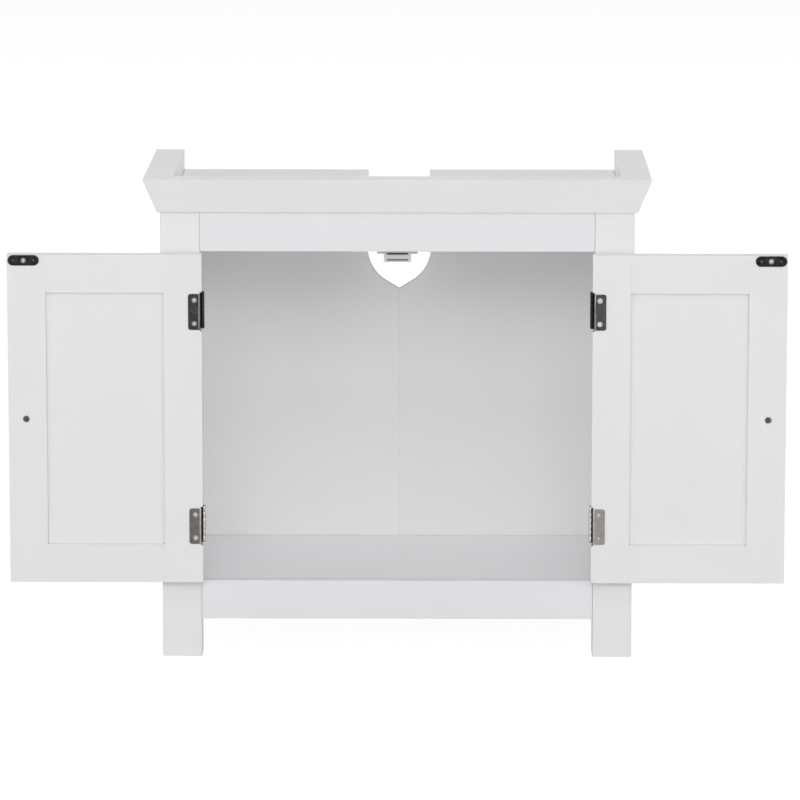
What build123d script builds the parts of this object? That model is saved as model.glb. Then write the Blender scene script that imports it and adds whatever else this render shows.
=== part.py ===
"""Vanity base cabinet: post-and-rail carcass, two inset frame-and-panel doors, mitred crown.

Millimetres, +Z up, the front faces -Y. The origin is on the floor, midway between the
crown's left and right edges and midway between its front edge and the back of the cabinet.
The doors are drawn folded right back, 180 degrees from closed. Left and right are the
viewer's, facing the front. Left-hand pieces are drawn and mirrored for the right.
"""
from build123d import *
import os
from math import cos, radians, sin, tan

os.makedirs("parts", exist_ok=True)

# Overall sizes
body_width = 600.0
body_depth = 300.0
total_height = 618.0

# Crown moulding, measured outward from the body's faces
crown_overhang = 21.0
crown_foot = 4.0
crown_height = 44.0
crown_lap = 16.0
crown_rebate = 4.0
basin_recess = 26.0

# Posts, rails and panels
front_post_width = 50.0
rear_post_width = 30.0
post_depth = 36.0
post_arris = 0.6
rail_thickness = 18.0
rail_face = 50.0
leg_clearance = 49.0
rear_rail_height = 34.0
side_thickness = 15.0
side_setback = 3.0
side_tongue = 6.0
side_tongue_thickness = 6.0
floor_thickness = 16.0
top_thickness = 16.0
back_thickness = 3.0
cleat_width = 20.0
cleat_height = 20.0
cleat_end_gap = 12.0

# Tenons at the rail ends
tenon_length = 20.0
tenon_thickness = 8.0
tenon_shoulder = 8.0

# Waste-pipe cut-outs: a pointed slot in the back and a round-ended notch in the top
slot_half_width = 42.0
slot_tip_height = 433.5
slot_tip_angle = 31.5
slot_curve = 51.0
notch_half_width = 40.5
notch_length = 150.0

# Doors
door_thickness = 16.0
door_stile = 48.5
door_rail = 49.0
door_panel_thickness = 6.0
door_groove = 8.0
door_tongue = 7.5
door_gap_ends = 1.5
door_gap_centre = 2.5

# Hinges
hinge_height = 46.0
hinge_offset = 73.0
knuckle_radius = 2.75
knuckle_count = 6
knuckle_gap = 0.15
hinge_pin_radius = 1.25
hinge_pin_head = 2.0
hinge_pin_head_height = 0.8
hinge_plate = 1.0
hinge_forward = 2.5
frame_leaf_reach = 22.0
flange_reach = 14.4
flange_corner = 3.0
bend_radius = 1.5
flange_screw_inset = 6.5
leaf_screw_spacing = 30.0
leaf_root_gap = 0.45
notch_end_gap = 2.0

# Screws: countersunk at 45 degrees a side, each with a pointed tip
screw_radius = 1.6
screw_head_radius = 3.4
screw_length = 13.0
screw_tip = 3.0
cleat_screw_length = 28.0
cleat_screw_inset = 40.0

# Striker plates and magnetic catch
striker_length = 39.5
striker_height = 13.3
striker_thickness = 1.2
striker_from_edge = 21.0
striker_from_top = 7.4
dimple_radius = 1.2
dimple_depth = 0.5
dimple_spacing = 25.2
catch_width = 34.4
catch_depth = 16.0
catch_height = 13.5
catch_wing_width = 51.5
catch_wing_height = 3.0
catch_corner = 1.0
catch_web = 3.0
pole_width = 26.6
pole_thickness = 1.8
pole_length = 14.0
pole_reach = 0.8
magnet_height = 6.1
magnet_depth = 10.0
catch_screw_radius = 1.4
catch_screw_head = 2.8
catch_screw_length = 12.0
block_width = 60.0
block_depth = 24.0
block_drop = 2.5

# Knobs and their screws
knob_radius = 14.0
knob_length = 26.0
knob_foot_radius = 8.0
knob_foot = 3.0
knob_neck_radius = 6.0
knob_neck_length = 7.0
knob_rim = 4.0
knob_chamfer = 3.0
knob_from_edge = 22.5
knob_screw_radius = 2.0
knob_screw_head_radius = 3.7
knob_screw_head = 2.2
knob_screw_bite = 9.0
knob_bore_radius = 4.4
knob_bore_depth = 3.2

# Staples through the back panels
staple_width = 10.0
staple_length = 14.0
staple_wire = 1.2
staple_inset = 15.0

# Clearances
fit = 0.1
screw_fit = 0.05
pin_fit = 0.05
catch_gap = 0.3

# Places worked out from the sizes
half_body = body_width / 2
rear_face = (body_depth + crown_overhang) / 2
front_face = rear_face - body_depth
back_inner = rear_face - back_thickness
crown_base = total_height - crown_height
top_surface = total_height - basin_recess
top_underside = top_surface - top_thickness
crown_seat = top_surface - crown_rebate
post_inner = half_body - front_post_width
rear_post_inner = half_body - rear_post_width
front_post_rear = front_face + post_depth
rear_post_front = back_inner - post_depth
lower_rail_top = leg_clearance + rail_face
upper_rail_base = crown_base - rail_face
rail_rear = front_face + rail_thickness
side_outer = half_body - side_setback
side_inner = side_outer - side_thickness
floor_underside = lower_rail_top - floor_thickness

hinge_x = -(post_inner - knuckle_radius)
hinge_y = front_face - hinge_forward
door_width = -hinge_x - door_gap_centre / 2
door_base = lower_rail_top + door_gap_ends
door_top = upper_rail_base - door_gap_ends
door_hinge_edge = hinge_x
door_free_edge = hinge_x - door_width
door_outer_face = hinge_y - hinge_forward
door_inner_face = door_outer_face - door_thickness
door_middle_plane = (door_outer_face + door_inner_face) / 2
hinge_heights = {"upper": door_top - hinge_offset, "lower": door_base + hinge_offset}
notch_face = door_hinge_edge - knuckle_radius


def save(piece, label):
    """Label a finished piece and write it to a file of its own."""
    piece.part.label = label
    export_step(piece.part, f"parts/{label}.step")


def board(x_span, y_span, z_span):
    """A flat board or block between the given limits."""
    with BuildPart() as piece:
        with BuildSketch(Plane.XY.offset(z_span[0])):
            with Locations((sum(x_span) / 2, sum(y_span) / 2)):
                Rectangle(x_span[1] - x_span[0], y_span[1] - y_span[0])
        extrude(amount=z_span[1] - z_span[0])
    return piece


def mirrored(piece):
    """The right-hand twin of a left-hand piece."""
    with BuildPart() as twin:
        mirror(piece.part, about=Plane.YZ)
    return twin


def save_pair(piece, name):
    """Write a left-hand piece and its right-hand twin."""
    save(piece, f"left_{name}")
    save(mirrored(piece), f"right_{name}")


def facing(seat, outward):
    """A hole's place: its mouth at seat, looking outward."""
    return Plane(origin=seat, z_dir=outward)


def turned_plane(seat, across, inward):
    """A plane through a turned piece's axis, its local y along the axis."""
    return Plane(origin=seat, x_dir=across, z_dir=Vector(across).cross(Vector(inward)))


def screws(seats, across, inward, radius, head_radius, length):
    """Countersunk screws, the face of each head at its seat."""
    with BuildPart() as group:
        for seat in seats:
            with BuildSketch(turned_plane(seat, across, inward)):
                Polygon(
                    (0, 0),
                    (head_radius, 0),
                    (radius, head_radius - radius),
                    (radius, length - screw_tip),
                    (0, length),
                    align=None,
                )
            revolve(axis=Axis(seat, inward))
    return group


def screw_hole(seat, outward, sunk, radius=screw_radius, head=screw_head_radius, length=screw_length):
    """Cut a screw's hole in a part whose face lies sunk below the face of the head."""
    depth = length - sunk + screw_fit
    with Locations(facing(seat, outward)):
        if head - sunk > radius:
            CounterSinkHole(
                radius=radius + screw_fit,
                counter_sink_radius=head - sunk + 2 * screw_fit,
                depth=depth,
                counter_sink_angle=90,
            )
        else:
            Hole(radius=radius + screw_fit, depth=depth)


# Rail ends: the post's inner face, the rail's middle plane, and the rail's lower and upper edge
front_rail_middle = front_face + rail_thickness / 2
rear_rail_middle = back_inner - rail_thickness / 2
front_bottom_end = (post_inner, front_rail_middle, leg_clearance, lower_rail_top)
front_top_end = (post_inner, front_rail_middle, upper_rail_base, top_underside)
rear_bottom_end = (rear_post_inner, rear_rail_middle, leg_clearance, leg_clearance + rear_rail_height)


def tenon(rail_end, room):
    """The left-hand tenon of a rail, grown by some room where it is cut as a mortise."""
    inner, middle, base, top = rail_end
    half = tenon_thickness / 2 + room
    return board(
        (-inner - tenon_length - room, -inner),
        (middle - half, middle + half),
        (base + tenon_shoulder - room, top - tenon_shoulder + room),
    )


# Posts, grooved for the side panels
groove_depth = side_tongue + fit
groove_width = side_tongue_thickness + 2 * fit
groove_middle = -(side_outer + side_inner) / 2

# Frame leaf screws enter the front posts through the hinge leaves
leaf_face = -post_inner + hinge_plate
frame_screw_y = hinge_y + frame_leaf_reach - flange_screw_inset


def hinge_screw_heights(middle):
    """Heights of the two screws of one leaf."""
    return (middle - leaf_screw_spacing / 2, middle + leaf_screw_spacing / 2)


frame_screw_seats = [
    (leaf_face, frame_screw_y, z)
    for middle in hinge_heights.values()
    for z in hinge_screw_heights(middle)
]


def post_blank(width, front, groove_edge):
    """A left post with eased long edges and a groove for the side panel."""
    with BuildPart() as post:
        with BuildSketch():
            with Locations((-half_body + width / 2, front + post_depth / 2)):
                Rectangle(width, post_depth)
        extrude(amount=top_underside)
        chamfer(post.edges().filter_by(Axis.Z), length=post_arris)
        with BuildSketch(Plane.XY.offset(leg_clearance)):
            with Locations((groove_middle, groove_edge)):
                Rectangle(groove_width, 2 * groove_depth)
        extrude(amount=top_underside - leg_clearance, mode=Mode.SUBTRACT)
    return post


with BuildPart() as front_post:
    add(post_blank(front_post_width, front_face, front_post_rear).part)
    add(tenon(front_bottom_end, fit).part, mode=Mode.SUBTRACT)
    add(tenon(front_top_end, fit).part, mode=Mode.SUBTRACT)
    for seat in frame_screw_seats:
        x, y, z = seat
        screw_hole((-post_inner, y, z), (1, 0, 0), hinge_plate)
save(front_post, "front_left_post")
save(mirrored(front_post), "front_right_post")

# Staples through the back panels: three up the outer edge, two along the bottom and one at the top
staple_low = leg_clearance + rear_rail_height / 2
staple_high = top_surface - top_thickness / 2
staple_x = -half_body + staple_inset
upright = (0, 0, 1)
level = (1, 0, 0)
staple_seats = [
    (staple_x, leg_clearance + rear_rail_height + staple_inset, upright),
    (staple_x, (lower_rail_top + crown_base) / 2, upright),
    (staple_x, top_underside - 2 * staple_inset, upright),
    (-rear_post_inner / 2, staple_high, level),
    (-rear_post_inner / 2, staple_low, level),
    (-staple_inset, staple_low, level),
]


def staples(room):
    """The left-hand staples, grown by some room where they are cut as their own seats."""
    with BuildPart() as group:
        for x, z, across in staple_seats:
            with BuildSketch(turned_plane((x, rear_face, z), across, (0, -1, 0))):
                with Locations((0, staple_length / 2)):
                    Rectangle(staple_width + 2 * room, staple_length + 2 * room)
                with Locations((0, staple_wire + room + staple_length / 2)):
                    Rectangle(staple_width - 2 * (staple_wire + room), staple_length, mode=Mode.SUBTRACT)
            extrude(amount=staple_wire / 2 + room, both=True)
    return group


left_staples = staples(0)
left_staple_seats = staples(screw_fit)
right_staple_seats = mirrored(left_staple_seats)

with BuildPart() as back_panel_staples:
    add(left_staples.part)
    mirror(about=Plane.YZ)
save(back_panel_staples, "back_panel_staples")

with BuildPart() as rear_post:
    add(post_blank(rear_post_width, rear_post_front, rear_post_front).part)
    add(tenon(rear_bottom_end, fit).part, mode=Mode.SUBTRACT)
    add(left_staple_seats.part, mode=Mode.SUBTRACT)
save(rear_post, "rear_left_post")
save(mirrored(rear_post), "rear_right_post")

# Side panels with a tongue on each upright edge
cleat_top = floor_underside
cleat_base = cleat_top - cleat_height
cleat_front = front_post_rear + cleat_end_gap
cleat_rear = rear_post_front - cleat_end_gap
cleat_middle = (cleat_top + cleat_base) / 2
cleat_face = -side_inner + cleat_width
cleat_screw_seats = [
    (cleat_face, y, cleat_middle)
    for y in (cleat_front + cleat_screw_inset, cleat_rear - cleat_screw_inset)
]

with BuildPart() as side_panel:
    with BuildSketch(Plane.XY.offset(leg_clearance)):
        with Locations((groove_middle, (front_post_rear + rear_post_front) / 2)):
            Rectangle(side_thickness, rear_post_front - front_post_rear)
            Rectangle(side_tongue_thickness, rear_post_front - front_post_rear + 2 * side_tongue)
    extrude(amount=top_underside - leg_clearance)
    for seat in cleat_screw_seats:
        x, y, z = seat
        screw_hole((-side_inner, y, z), (1, 0, 0), cleat_width, length=cleat_screw_length)
save_pair(side_panel, "side_panel")

# Floor cleats, screwed to the side panels
with BuildPart() as floor_cleat:
    with BuildSketch(Plane.XY.offset(cleat_base)):
        with Locations((-side_inner + cleat_width / 2, (cleat_front + cleat_rear) / 2)):
            Rectangle(cleat_width, cleat_rear - cleat_front)
    extrude(amount=cleat_height)
    for seat in cleat_screw_seats:
        screw_hole(seat, (1, 0, 0), 0, length=cleat_screw_length)
save_pair(floor_cleat, "floor_cleat")

with BuildPart() as cleat_screws:
    add(
        screws(
            cleat_screw_seats, (0, 1, 0), (-1, 0, 0), screw_radius, screw_head_radius, cleat_screw_length
        ).part
    )
    mirror(about=Plane.YZ)
save(cleat_screws, "cleat_screws")


# Rails
def rail(rail_end):
    """A rail between two posts, with a tenon at each end."""
    inner, middle, base, top = rail_end
    with BuildPart() as piece:
        with BuildSketch(Plane.XY.offset(base)):
            with Locations((0, middle)):
                Rectangle(2 * inner, rail_thickness)
        extrude(amount=top - base)
        add(tenon(rail_end, 0).part)
        add(mirrored(tenon(rail_end, 0)).part)
    return piece


save(rail(front_bottom_end), "front_bottom_rail")
save(rail(front_top_end), "front_top_rail")

with BuildPart() as rear_bottom_rail:
    add(rail(rear_bottom_end).part)
    add(left_staple_seats.part, mode=Mode.SUBTRACT)
    add(right_staple_seats.part, mode=Mode.SUBTRACT)
save(rear_bottom_rail, "rear_bottom_rail")

# Floor board, notched round the four posts
with BuildPart() as floor_board:
    with BuildSketch(Plane.XY.offset(floor_underside)):
        with Locations((0, (rail_rear + back_inner) / 2)):
            Rectangle(2 * side_inner, back_inner - rail_rear)
        with Locations((-half_body, front_face), (half_body, front_face)):
            Rectangle(2 * front_post_width, 2 * post_depth, mode=Mode.SUBTRACT)
        with Locations((-half_body, back_inner), (half_body, back_inner)):
            Rectangle(2 * rear_post_width, 2 * post_depth, mode=Mode.SUBTRACT)
    extrude(amount=floor_thickness)
save(floor_board, "floor_board")

# Top board: a round-ended notch for the waste pipe, and a rebate that the crown sits in
with BuildPart() as top_board:
    with BuildSketch(Plane.XY.offset(top_underside)):
        with Locations((0, (front_face + back_inner) / 2)):
            Rectangle(body_width, back_inner - front_face)
        with Locations((0, back_inner)):
            SlotOverall(2 * notch_length, 2 * notch_half_width, rotation=90, mode=Mode.SUBTRACT)
    extrude(amount=top_thickness)
    with BuildSketch(Plane.XY.offset(crown_seat)):
        with Locations((0, (front_face + back_inner) / 2)):
            Rectangle(body_width, back_inner - front_face)
        with Locations((0, back_inner)):
            Rectangle(
                2 * (half_body - crown_lap - fit),
                2 * (back_inner - front_face - crown_lap - fit),
                mode=Mode.SUBTRACT,
            )
    extrude(amount=crown_rebate, mode=Mode.SUBTRACT)
    add(left_staple_seats.part, mode=Mode.SUBTRACT)
    add(right_staple_seats.part, mode=Mode.SUBTRACT)
save(top_board, "top_board")

# Crown moulding: one section, mitred at the two front corners
crown_section = [
    (0, crown_base),
    (crown_foot, crown_base),
    (crown_overhang, total_height),
    (-crown_lap, total_height),
    (-crown_lap, crown_seat),
    (0, crown_seat),
]
left_mitre = Plane(origin=(-half_body, front_face, 0), z_dir=(1, -1, 0))
right_mitre = Plane(origin=(half_body, front_face, 0), z_dir=(-1, -1, 0))

with BuildPart() as crown_front:
    with BuildSketch(Plane.YZ):
        Polygon(*[(front_face - out, z) for out, z in crown_section], align=None)
    extrude(amount=half_body + crown_overhang, both=True)
    split(bisect_by=left_mitre, keep=Keep.TOP)
    split(bisect_by=right_mitre, keep=Keep.TOP)
save(crown_front, "crown_front")

with BuildPart() as crown_side:
    with BuildSketch(Plane.XZ.offset(-rear_face)):
        Polygon(*[(-half_body - out, z) for out, z in crown_section], align=None)
    extrude(amount=body_depth + crown_overhang)
    split(bisect_by=left_mitre, keep=Keep.BOTTOM)
save(crown_side, "crown_left")
save(mirrored(crown_side), "crown_right")

# Back panels: half of the pointed pipe slot is cut from each
slot_centre_x = slot_curve - slot_half_width
slot_centre_z = slot_tip_height - slot_centre_x * tan(radians(slot_tip_angle))
slot_centre_z += slot_curve / cos(radians(slot_tip_angle))
slot_touch_x = slot_centre_x - slot_curve * sin(radians(slot_tip_angle))
slot_touch_z = slot_centre_z - slot_curve * cos(radians(slot_tip_angle))
slot_mid_angle = radians((90 - slot_tip_angle) / 2)
slot_mid_x = slot_centre_x - slot_curve * cos(slot_mid_angle)
slot_mid_z = slot_centre_z - slot_curve * sin(slot_mid_angle)
panel_outer = -half_body + side_setback

with BuildPart() as back_panel:
    with BuildSketch(Plane.XZ.offset(-rear_face)):
        with BuildLine():
            Polyline(
                (0, slot_tip_height),
                (0, leg_clearance),
                (panel_outer, leg_clearance),
                (panel_outer, crown_seat),
                (-slot_half_width, crown_seat),
                (-slot_half_width, slot_centre_z),
            )
            ThreePointArc(
                (-slot_half_width, slot_centre_z),
                (slot_mid_x, slot_mid_z),
                (slot_touch_x, slot_touch_z),
            )
            Line((slot_touch_x, slot_touch_z), (0, slot_tip_height))
        make_face()
    extrude(amount=back_thickness)
    add(left_staple_seats.part, mode=Mode.SUBTRACT)
save_pair(back_panel, "back_panel")

# Magnetic catch under a block behind the top rail
striker_rest = front_face + door_thickness + striker_thickness
pole_front = striker_rest + catch_gap
catch_front = pole_front + pole_reach
block_base = upper_rail_base - block_drop
catch_base = block_base - catch_height
catch_middle_y = catch_front + catch_depth / 2
catch_screw_x = (catch_width + catch_wing_width) / 4
catch_screw_seats = [
    (side * catch_screw_x, catch_middle_y, block_base - catch_wing_height) for side in (-1, 1)
]
pole_heights = [
    catch_base + (catch_height - magnet_height) / 2 - pole_thickness,
    catch_base + (catch_height + magnet_height) / 2,
]

with BuildPart() as catch_block:
    add(
        board(
            (-block_width / 2, block_width / 2),
            (rail_rear, rail_rear + block_depth),
            (block_base, top_underside),
        ).part
    )
    for x, y, z in catch_screw_seats:
        screw_hole(
            (x, y, block_base),
            (0, 0, -1),
            catch_wing_height,
            catch_screw_radius,
            catch_screw_head,
            catch_screw_length,
        )
save(catch_block, "catch_block")

with BuildPart() as catch_housing:
    with BuildSketch(Plane.XZ.offset(-catch_front - catch_depth)):
        with Locations((0, block_base - catch_height / 2)):
            Rectangle(catch_width, catch_height)
        with Locations((0, block_base - catch_wing_height / 2)):
            Rectangle(catch_wing_width, catch_wing_height)
    extrude(amount=catch_depth)
    fillet(catch_housing.edges().filter_by(Axis.Y).group_by(Axis.Z)[0], radius=catch_corner)
    with BuildSketch(Plane.XZ.offset(-catch_front - catch_depth)):
        with Locations((0, catch_base + catch_height / 2)):
            Rectangle(pole_width + 2 * fit, magnet_height + 2 * pole_thickness + 2 * fit)
    extrude(amount=catch_depth - catch_web, mode=Mode.SUBTRACT)
    with BuildSketch(Plane.XZ.offset(-catch_front)):
        for height in pole_heights:
            with Locations((0, height + pole_thickness / 2)):
                Rectangle(pole_width + 2 * fit, pole_thickness + 2 * fit)
    extrude(amount=-catch_web, mode=Mode.SUBTRACT)
    for seat in catch_screw_seats:
        screw_hole(seat, (0, 0, -1), 0, catch_screw_radius, catch_screw_head, catch_screw_length)
save(catch_housing, "catch_housing")

with BuildPart() as catch_pole_plates:
    for height in pole_heights:
        with BuildSketch(Plane.XY.offset(height)):
            with Locations((0, pole_front + pole_length / 2)):
                Rectangle(pole_width, pole_length)
        extrude(amount=pole_thickness)
save(catch_pole_plates, "catch_pole_plates")

magnet_front = pole_front + pole_length - magnet_depth
save(
    board(
        (-pole_width / 2 + fit, pole_width / 2 - fit),
        (magnet_front, magnet_front + magnet_depth),
        (pole_heights[0] + pole_thickness, pole_heights[1]),
    ),
    "catch_magnet",
)
save(
    screws(
        catch_screw_seats, (1, 0, 0), (0, 0, 1), catch_screw_radius, catch_screw_head, catch_screw_length
    ),
    "catch_screws",
)

# Hinges: interleaved knuckles on a headed pin, every other one on the post
knuckle_pitch = hinge_height / knuckle_count
leaf_root = knuckle_radius + leaf_root_gap
flange_face = door_inner_face - hinge_plate
flange_screw_x = notch_face - flange_screw_inset


def knuckles(middle, first, root):
    """Every other knuckle of one leaf, each with the strap that joins it to the plate."""
    with BuildPart() as group:
        for index in range(first, knuckle_count, 2):
            base = middle - hinge_height / 2 + index * knuckle_pitch
            lower_gap = knuckle_gap / 2 if index > 0 else 0
            upper_gap = knuckle_gap / 2 if index < knuckle_count - 1 else 0
            with BuildSketch(Plane(origin=(hinge_x, hinge_y, base + lower_gap))):
                Circle(knuckle_radius)
                with Locations((-knuckle_radius + hinge_plate / 2, root / 2)):
                    Rectangle(hinge_plate, abs(root))
                Circle(hinge_pin_radius + pin_fit, mode=Mode.SUBTRACT)
            extrude(amount=knuckle_pitch - lower_gap - upper_gap)
    return group


def frame_leaf(middle):
    """The leaf on the post: a flat plate on the post's inner face."""
    with BuildPart() as leaf:
        with BuildSketch(Plane(origin=(hinge_x, hinge_y, middle - hinge_height / 2))):
            with Locations((-knuckle_radius + hinge_plate / 2, (leaf_root + frame_leaf_reach) / 2)):
                Rectangle(hinge_plate, frame_leaf_reach - leaf_root)
        extrude(amount=hinge_height)
        fillet(leaf.edges().filter_by(Axis.X).group_by(Axis.Y)[-1], radius=flange_corner)
        add(knuckles(middle, 0, leaf_root).part)
        for z in hinge_screw_heights(middle):
            screw_hole((leaf_face, frame_screw_y, z), (1, 0, 0), 0)
    return leaf


def door_leaf(middle):
    """The leaf on the door: along the notch, then wrapped onto the inner face."""
    with BuildPart() as leaf:
        with BuildSketch(Plane.XY.offset(middle - hinge_height / 2)):
            with BuildLine():
                Polyline(
                    (notch_face + hinge_plate, hinge_y - leaf_root),
                    (notch_face + hinge_plate, flange_face),
                    (notch_face - flange_reach, flange_face),
                    (notch_face - flange_reach, door_inner_face),
                    (notch_face, door_inner_face),
                    (notch_face, hinge_y - leaf_root),
                    close=True,
                )
            make_face()
        extrude(amount=hinge_height)
        fillet(leaf.edges().filter_by(Axis.Y).group_by(Axis.X)[0], radius=flange_corner)
        outer_bend = leaf.edges().filter_by(Axis.Z).group_by(Axis.Y)[0].sort_by(Axis.X)[-1]
        fillet(outer_bend, radius=bend_radius)
        add(knuckles(middle, 1, -leaf_root).part)
        for z in hinge_screw_heights(middle):
            screw_hole((flange_screw_x, flange_face, z), (0, -1, 0), 0)
    return leaf


for place, middle in hinge_heights.items():
    save_pair(frame_leaf(middle), f"{place}_frame_leaf")
    save_pair(door_leaf(middle), f"{place}_door_leaf")

with BuildPart() as hinge_pins:
    for middle in hinge_heights.values():
        base = Vector(hinge_x, hinge_y, middle - hinge_height / 2)
        with BuildSketch(turned_plane(base, (1, 0, 0), (0, 0, 1))):
            Polygon(
                (0, -hinge_pin_head_height),
                (hinge_pin_head, -hinge_pin_head_height),
                (hinge_pin_head, 0),
                (hinge_pin_radius, 0),
                (hinge_pin_radius, hinge_height),
                (hinge_pin_head, hinge_height),
                (hinge_pin_head, hinge_height + hinge_pin_head_height),
                (0, hinge_height + hinge_pin_head_height),
                align=None,
            )
        revolve(axis=Axis(base, (0, 0, 1)))
save_pair(hinge_pins, "hinge_pins")

save_pair(
    screws(frame_screw_seats, (0, 1, 0), (-1, 0, 0), screw_radius, screw_head_radius, screw_length),
    "frame_leaf_screws",
)
door_screw_seats = [
    (flange_screw_x, flange_face, z)
    for middle in hinge_heights.values()
    for z in hinge_screw_heights(middle)
]
save_pair(
    screws(door_screw_seats, (1, 0, 0), (0, 1, 0), screw_radius, screw_head_radius, screw_length),
    "door_leaf_screws",
)

# Door frames: grooved stiles and rails, stub tongues on the rails, a flat panel
hinge_stile_inner = door_hinge_edge - door_stile
free_stile_inner = door_free_edge + door_stile
panel_groove = door_panel_thickness + 2 * fit
panel_base = door_base + door_rail
panel_top = door_top - door_rail
knob_x = door_free_edge + knob_from_edge
knob_z = (door_base + door_top) / 2
striker_x = door_free_edge + striker_from_edge
striker_z = door_top - striker_from_top
striker_face = door_inner_face - striker_thickness


def stile_blank(x_span, groove_x):
    """A full-height stile, grooved along the edge at groove_x."""
    with BuildPart() as stile:
        with BuildSketch(Plane.XY.offset(door_base)):
            with Locations((sum(x_span) / 2, door_middle_plane)):
                Rectangle(x_span[1] - x_span[0], door_thickness)
            with Locations((groove_x, door_middle_plane)):
                Rectangle(2 * door_groove, panel_groove, mode=Mode.SUBTRACT)
        extrude(amount=door_top - door_base)
    return stile


with BuildPart() as hinge_stile:
    add(stile_blank((hinge_stile_inner, door_hinge_edge), hinge_stile_inner).part)
    for middle in hinge_heights.values():
        with BuildSketch(Plane.XY.offset(middle - hinge_height / 2 - notch_end_gap)):
            with Locations((door_hinge_edge, door_middle_plane)):
                Rectangle(2 * knuckle_radius, 2 * door_thickness)
        extrude(amount=hinge_height + 2 * notch_end_gap, mode=Mode.SUBTRACT)
    for x, _, z in door_screw_seats:
        screw_hole((x, door_inner_face, z), (0, -1, 0), hinge_plate)
save_pair(hinge_stile, "door_hinge_stile")

with BuildPart() as free_stile:
    add(stile_blank((door_free_edge, free_stile_inner), free_stile_inner).part)
    with Locations(facing((knob_x, door_inner_face, knob_z), (0, -1, 0))):
        CounterBoreHole(
            radius=knob_screw_radius + fit,
            counter_bore_radius=knob_bore_radius,
            counter_bore_depth=knob_bore_depth,
            depth=door_thickness,
        )
    screw_hole((striker_x, door_inner_face, striker_z), (0, -1, 0), striker_thickness)
save_pair(free_stile, "door_free_stile")


def door_rail_piece(z_span, groove_z):
    """A door rail, grooved along the edge at groove_z, with a stub tongue at each end."""
    middle_x = (hinge_stile_inner + free_stile_inner) / 2
    length = hinge_stile_inner - free_stile_inner
    tongue_base = z_span[0] + (door_groove if groove_z == z_span[0] else 0)
    tongue_top = z_span[1] - (door_groove if groove_z == z_span[1] else 0)
    with BuildPart() as piece:
        with BuildSketch(Plane.YZ.offset(middle_x)):
            with Locations((door_middle_plane, sum(z_span) / 2)):
                Rectangle(door_thickness, z_span[1] - z_span[0])
            with Locations((door_middle_plane, groove_z)):
                Rectangle(panel_groove, 2 * door_groove, mode=Mode.SUBTRACT)
        extrude(amount=length / 2, both=True)
        with BuildSketch(Plane.YZ.offset(middle_x)):
            with Locations((door_middle_plane, (tongue_base + tongue_top) / 2)):
                Rectangle(door_panel_thickness, tongue_top - tongue_base)
        extrude(amount=length / 2 + door_tongue, both=True)
    return piece


save_pair(door_rail_piece((panel_top, door_top), panel_top), "door_top_rail")
save_pair(door_rail_piece((door_base, panel_base), panel_base), "door_bottom_rail")
save_pair(
    board(
        (free_stile_inner - door_tongue, hinge_stile_inner + door_tongue),
        (door_middle_plane - door_panel_thickness / 2, door_middle_plane + door_panel_thickness / 2),
        (panel_base - door_tongue, panel_top + door_tongue),
    ),
    "door_panel",
)

# Striker plates at the doors' upper free corners
with BuildPart() as striker:
    with BuildSketch(Plane.XZ.offset(-door_inner_face)):
        with Locations((striker_x, striker_z)):
            SlotOverall(striker_length, striker_height)
    extrude(amount=striker_thickness)
    for side in (-1, 1):
        with Locations(facing((striker_x + side * dimple_spacing / 2, striker_face, striker_z), (0, -1, 0))):
            Hole(radius=dimple_radius, depth=dimple_depth)
    screw_hole((striker_x, striker_face, striker_z), (0, -1, 0), 0)
save_pair(striker, "door_striker")
save_pair(
    screws(
        [(striker_x, striker_face, striker_z)],
        (1, 0, 0),
        (0, 1, 0),
        screw_radius,
        screw_head_radius,
        screw_length,
    ),
    "door_striker_screw",
)

# Knobs: turned, each drawn up by a screw through the stile
knob_neck_base = knob_foot + knob_foot_radius - knob_neck_radius
knob_rim_top = knob_length - knob_chamfer

with BuildPart() as knob:
    with BuildSketch(turned_plane((knob_x, door_outer_face, knob_z), (1, 0, 0), (0, 1, 0))):
        Polygon(
            (knob_screw_radius + screw_fit, 0),
            (knob_foot_radius, 0),
            (knob_foot_radius, knob_foot),
            (knob_neck_radius, knob_neck_base),
            (knob_neck_radius, knob_neck_base + knob_neck_length),
            (knob_radius, knob_rim_top - knob_rim),
            (knob_radius, knob_rim_top),
            (knob_radius - knob_chamfer, knob_length),
            (0, knob_length),
            (0, knob_screw_bite + fit),
            (knob_screw_radius + screw_fit, knob_screw_bite + fit),
            align=None,
        )
    revolve(axis=Axis((knob_x, door_outer_face, knob_z), (0, 1, 0)))
save_pair(knob, "door_knob")

knob_head_face = door_inner_face + knob_bore_depth - knob_screw_head
with BuildPart() as knob_screw:
    with BuildSketch(turned_plane((knob_x, knob_head_face, knob_z), (1, 0, 0), (0, 1, 0))):
        Polygon(
            (0, 0),
            (knob_screw_head_radius, 0),
            (knob_screw_head_radius, knob_screw_head),
            (knob_screw_radius, knob_screw_head),
            (knob_screw_radius, door_outer_face - knob_head_face + knob_screw_bite),
            (0, door_outer_face - knob_head_face + knob_screw_bite),
            align=None,
        )
    revolve(axis=Axis((knob_x, knob_head_face, knob_z), (0, 1, 0)))
save_pair(knob_screw, "door_knob_screw")
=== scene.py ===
"""The vanity base cabinet as photographed: doors folded back, in a white studio."""

import math

import bmesh
import bpy
from mathutils import Matrix, Vector


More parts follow.
